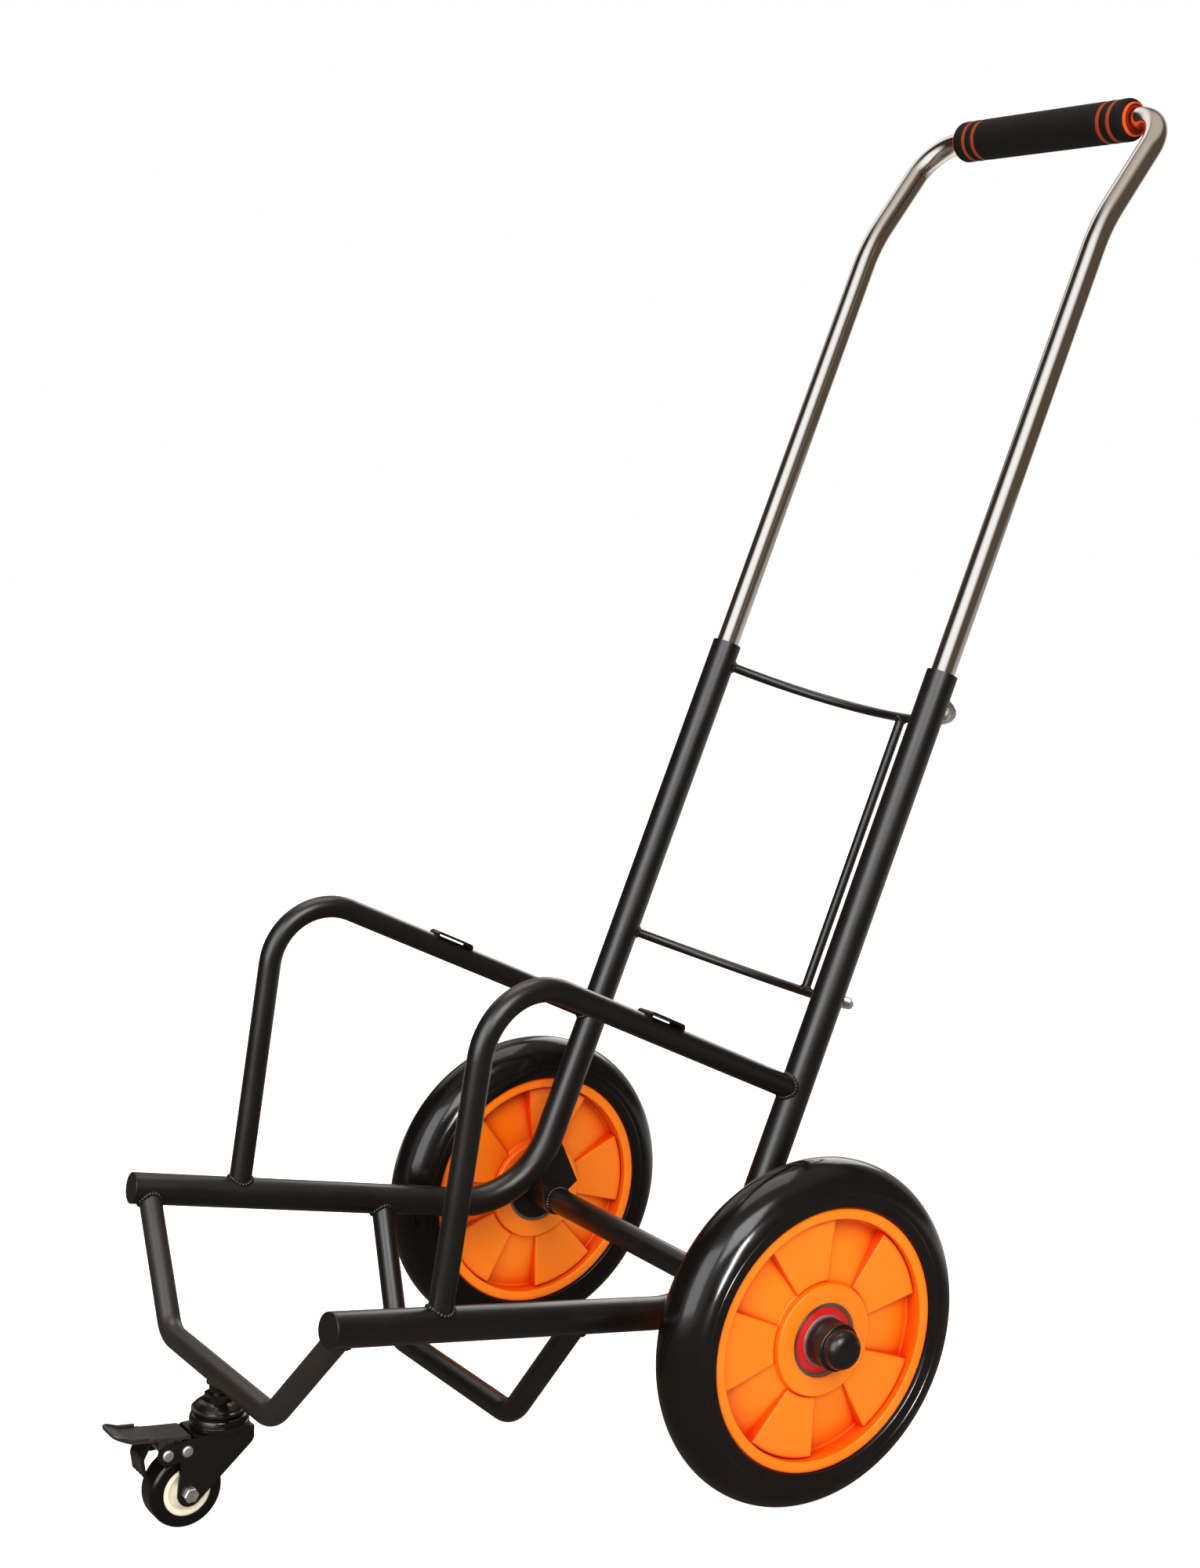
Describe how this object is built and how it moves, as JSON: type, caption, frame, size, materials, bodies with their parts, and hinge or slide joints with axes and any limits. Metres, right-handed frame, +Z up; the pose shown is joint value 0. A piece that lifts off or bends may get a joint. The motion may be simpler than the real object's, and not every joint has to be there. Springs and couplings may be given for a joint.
{
  "type": "water jug hand truck",
  "caption": "Bent-tube hand truck for water jugs, with large solid wheels, a braked front caster, side hoops, a bowed back rest and a sliding handle with a foam grip.",
  "frame": {"origin": "on the ground, half way between the brake pedal's tip and the back of the grip, on the centre plane", "axes": "+Z up, -Y towards the front caster, +X across the truck along the axle"},
  "size_m": [0.5012, 0.8636, 1.083],
  "materials": {
    "black_frame": "gloss black powder coat",
    "zinc": "zinc plated",
    "bearing_steel": "ground steel",
    "red_seal": "moulded red seal",
    "orange_plastic": "moulded orange",
    "tyre_rubber": "smooth solid rubber",
    "chrome": "chrome plated",
    "black_plastic": "satin black",
    "black_foam": "closed-cell foam",
    "orange_foam": "closed-cell foam",
    "caster_rubber": "satin tread",
    "cream_plastic": "moulded cream"
  },
  "bodies": {
    "frame": {"side_tube_right": "black_frame", "side_tube_left": "black_frame", "rail_end_cap_right": "black_plastic", "rail_end_cap_left": "black_plastic", "hoop_right": "black_frame", "hoop_left": "black_frame", "strap_loop_right": "black_frame", "strap_loop_left": "black_frame", "front_u_bracket": "black_frame", "rear_u_bracket": "black_frame", "upper_back_rod": "black_frame", "lower_back_rod": "black_frame", "spine_rod": "black_frame", "axle_tube": "black_frame", "axle_shaft": "zinc", "axle_bracket_right": "black_frame", "axle_bracket_left": "black_frame", "bearing_inner_races_right": "bearing_steel", "bearing_inner_races_left": "bearing_steel", "wheel_spacer_right": "black_plastic", "wheel_spacer_left": "black_plastic", "hub_sleeves": "zinc", "wheel_washers": "zinc", "wheel_nuts": "zinc", "axle_cap_right": "black_plastic", "axle_cap_left": "black_plastic", "guide_bush_right": "black_plastic", "guide_bush_left": "black_plastic", "cord_studs": "zinc", "caster_stem": "black_frame", "swivel_race": "black_frame"},
    "right_wheel": {"rim_right": "orange_plastic", "tyre_right": "tyre_rubber", "bearing_outer_races_right": "bearing_steel", "bearing_seals_right": "red_seal"},
    "left_wheel": {"rim_left": "orange_plastic", "tyre_left": "tyre_rubber", "bearing_outer_races_left": "bearing_steel", "bearing_seals_left": "red_seal"},
    "handle": {"handle_tube": "chrome", "leg_ferrule_right": "black_plastic", "leg_ferrule_left": "black_plastic", "button_clip_right": "bearing_steel", "button_clip_left": "bearing_steel", "grip_foam": "black_foam", "grip_rings": "orange_foam", "grip_end_rings": "orange_foam"},
    "right_button": {"lock_button_right": "zinc"},
    "left_button": {"lock_button_left": "zinc"},
    "caster": {"swivel_cup": "black_frame", "caster_fork": "black_frame", "caster_rivets": "zinc", "caster_sleeve": "zinc", "caster_bolt": "zinc", "caster_nut": "zinc"},
    "caster_wheel": {"caster_tread": "caster_rubber", "caster_core": "cream_plastic"},
    "brake": {"brake_pedal": "black_frame", "brake_shoe": "black_frame"}
  },
  "joints": [
    {"name": "handle_slide", "type": "slide", "parent": "frame", "child": "handle", "axis": [0, 0.3778, 0.9259], "range_m": [-0.33, 0]},
    {"name": "right_wheel_spin", "type": "hinge", "parent": "frame", "child": "right_wheel", "pos_m": [0, 0.04224, 0.134], "axis": [1, 0, 0], "continuous": true},
    {"name": "left_wheel_spin", "type": "hinge", "parent": "frame", "child": "left_wheel", "pos_m": [0, 0.04224, 0.134], "axis": [1, 0, 0], "continuous": true},
    {"name": "caster_swivel", "type": "hinge", "parent": "frame", "child": "caster", "pos_m": [0, -0.34518, 0.08], "axis": [0, 0, 1], "continuous": true},
    {"name": "caster_wheel_spin", "type": "hinge", "parent": "caster", "child": "caster_wheel", "pos_m": [0, -0.37478, 0.028], "axis": [1, 0, 0], "continuous": true},
    {"name": "brake_pedal_press", "type": "hinge", "parent": "caster", "child": "brake", "pos_m": [0, -0.39178, 0.061], "axis": [1, 0, 0], "range_deg": [0, 16]},
    {"name": "right_button_press", "type": "slide", "parent": "frame", "child": "right_button", "axis": [-0.342, -0.87, 0.3551], "range_m": [0, 0.004], "stiffness_N_per_m": 400, "springref_m": -0.001},
    {"name": "left_button_press", "type": "slide", "parent": "frame", "child": "left_button", "axis": [0.342, -0.87, 0.3551], "range_m": [0, 0.004], "stiffness_N_per_m": 400, "springref_m": -0.001}
  ]
}
